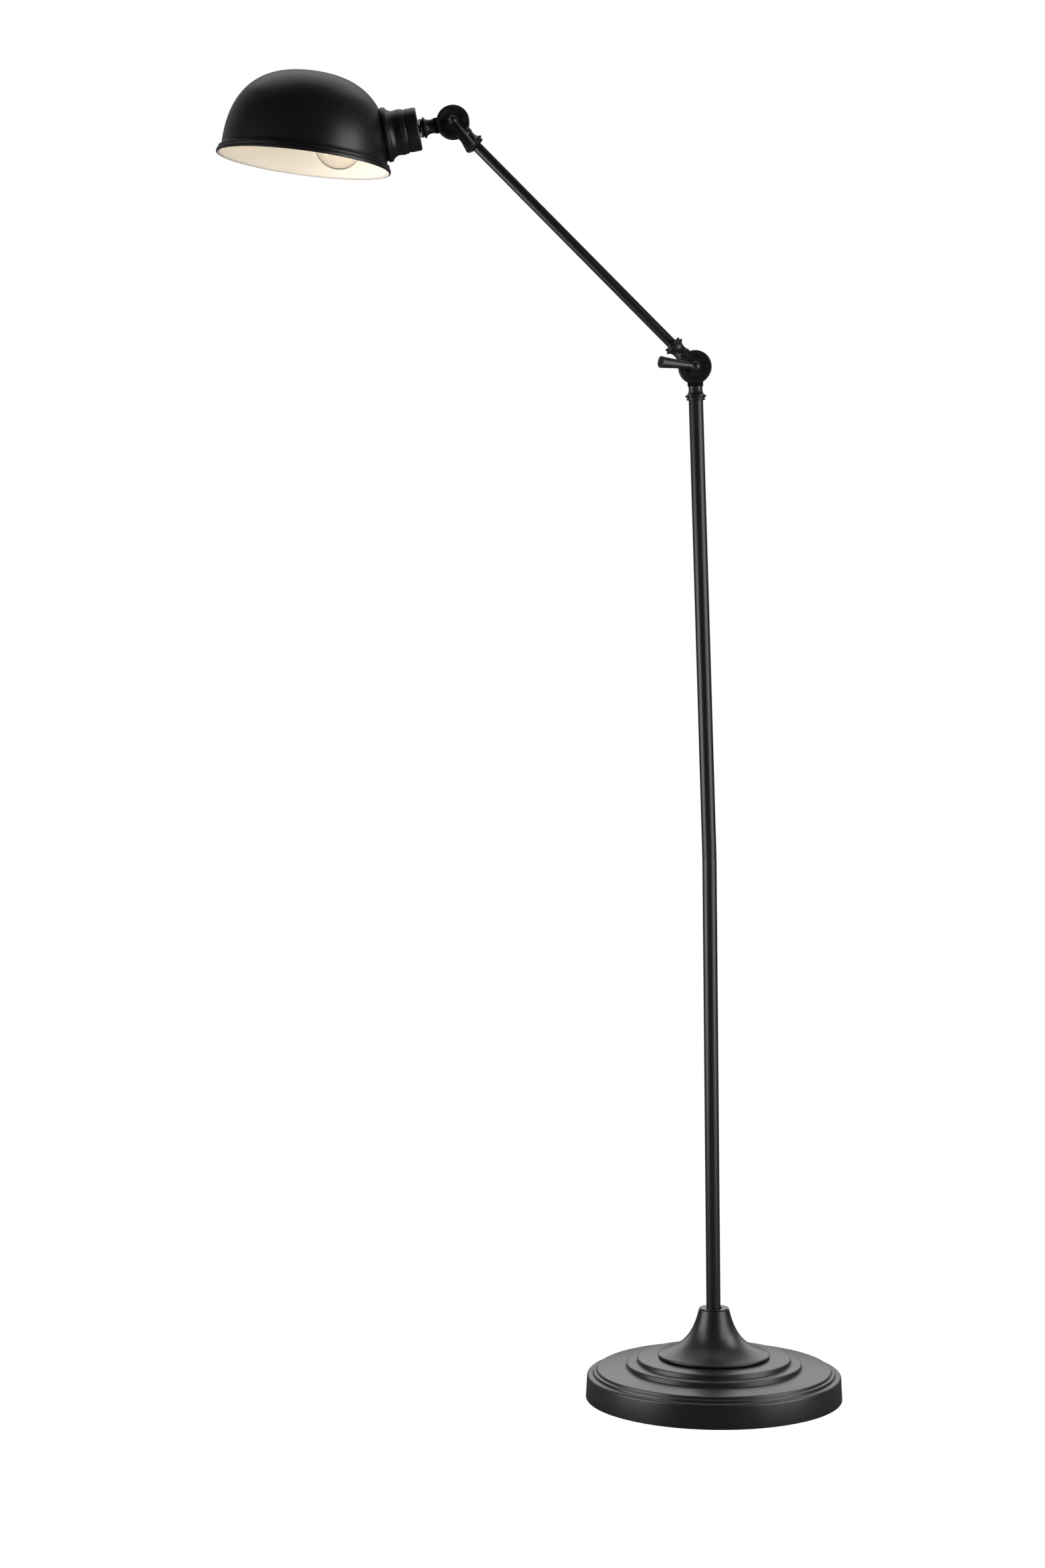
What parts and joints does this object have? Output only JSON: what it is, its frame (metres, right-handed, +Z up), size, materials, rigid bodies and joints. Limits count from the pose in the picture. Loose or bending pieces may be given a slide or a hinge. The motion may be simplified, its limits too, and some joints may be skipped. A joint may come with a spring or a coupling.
{
  "type": "adjustable arm floor lamp",
  "caption": "Floor lamp with a stepped round base, slim pole, tilting arm and a deep dome shade on clamped hinges.",
  "frame": {"origin": "centre of the round base on the floor, at the underside of the felt pad", "axes": "+Z up; the arm and the shade reach towards -X; both hinges turn about Y and the levers are on the -Y side"},
  "size_m": [0.714, 0.2966, 1.5137],
  "materials": {
    "black_paint": "satin black baked paint on spun and turned steel",
    "shade_sheet": "satin black outside, warm white enamel inside",
    "iron": "rough cast",
    "zinc_steel": "zinc plated",
    "felt": "pressed felt",
    "rubber": "moulded",
    "fibre": "pressed fibre washer",
    "ceramic": "glazed",
    "brass": "bare, spun",
    "nickel": "nickel plated",
    "clear_glass": "clear, blown",
    "tungsten": "drawn wire",
    "cable_sheath": "sheathed flex"
  },
  "bodies": {
    "stand": {"base_pad": "felt", "base_weight": "iron", "base_cover": "black_paint", "base_bell": "black_paint", "bell_washer": "black_paint", "cord_grommet": "rubber", "foot_rod": "zinc_steel", "foot_nut": "zinc_steel", "foot_washer": "zinc_steel", "pole_foot_plug": "zinc_steel", "pole_lower": "black_paint", "pole_coupler": "zinc_steel", "pole_upper": "black_paint", "pole_lead": "cable_sheath", "pole_top_plug": "zinc_steel", "pole_nipple": "zinc_steel", "elbow_pole_knuckle": "black_paint", "elbow_friction_washer": "fibre", "elbow_nut_washer": "zinc_steel", "elbow_nut": "zinc_steel"},
    "arm": {"elbow_arm_knuckle": "black_paint", "arm_tube": "black_paint", "arm_lower_nipple": "zinc_steel", "arm_lead": "cable_sheath", "arm_upper_nipple": "zinc_steel", "head_arm_knuckle": "black_paint"},
    "head": {"head_neck_knuckle": "black_paint", "head_friction_washer": "fibre", "head_nut_washer": "zinc_steel", "head_nut": "zinc_steel", "neck_ring": "black_paint", "neck_nipple": "zinc_steel", "neck_nut": "zinc_steel", "socket_cup": "black_paint", "shade": "shade_sheet", "shade_ring": "black_paint", "lampholder_body": "black_paint", "lampholder_insert": "ceramic", "lampholder_screw_shell": "brass", "lampholder_contact": "brass", "bulb_cap": "nickel", "bulb_glass": "clear_glass", "bulb_stem": "clear_glass", "bulb_filament": "tungsten"},
    "elbow_lever": {"elbow_spring_washer": "zinc_steel", "elbow_screw": "zinc_steel", "elbow_knob": "black_paint", "elbow_lever": "black_paint"},
    "head_lever": {"head_spring_washer": "zinc_steel", "head_screw": "zinc_steel", "head_knob": "black_paint", "head_lever": "black_paint"}
  },
  "joints": [
    {"name": "elbow_tilt", "type": "hinge", "parent": "stand", "child": "arm", "pos_m": [-0.02495, 0, 1.18177], "axis": [0, -1, 0], "range_deg": [-45, 70]},
    {"name": "head_tilt", "type": "hinge", "parent": "arm", "child": "head", "pos_m": [-0.29904, 0, 1.45681], "axis": [0, -1, 0], "range_deg": [-90, 65]},
    {"name": "elbow_lever_turn", "type": "hinge", "parent": "stand", "child": "elbow_lever", "pos_m": [-0.02495, 0, 1.18177], "axis": [0, -1, 0], "range_deg": [-90, 90]},
    {"name": "head_lever_turn", "type": "hinge", "parent": "head", "child": "head_lever", "pos_m": [-0.29904, 0, 1.45681], "axis": [0, -1, 0], "range_deg": [-90, 90]}
  ]
}
